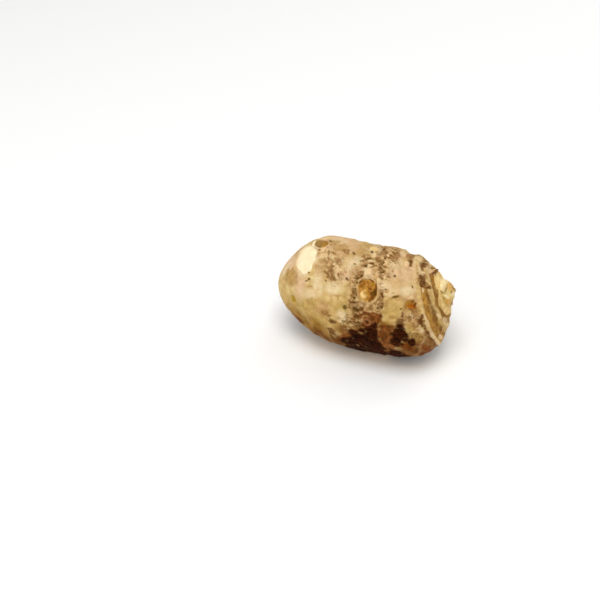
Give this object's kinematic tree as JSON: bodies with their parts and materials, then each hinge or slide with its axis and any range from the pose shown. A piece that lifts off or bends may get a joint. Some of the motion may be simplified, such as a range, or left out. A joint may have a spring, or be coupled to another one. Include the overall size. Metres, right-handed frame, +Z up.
{
  "type": "eddo",
  "caption": "Egg-shaped eddo lying on its side: leaf-scar rings, a ridged crown with a torn shoot stub, sunk bud scars and a scraped patch near the root end.",
  "frame": {"origin": "on the resting plane, under the middle of the bounding box", "axes": "+X from the root end to the shoot end along the corm's length, +Z up from the surface it lies on, +Y to the side the corm bends towards"},
  "size_m": [0.0838, 0.052, 0.0507],
  "materials": {
    "corm_skin": null
  },
  "bodies": {
    "root": {"corm": "corm_skin"}
  },
  "joints": []
}
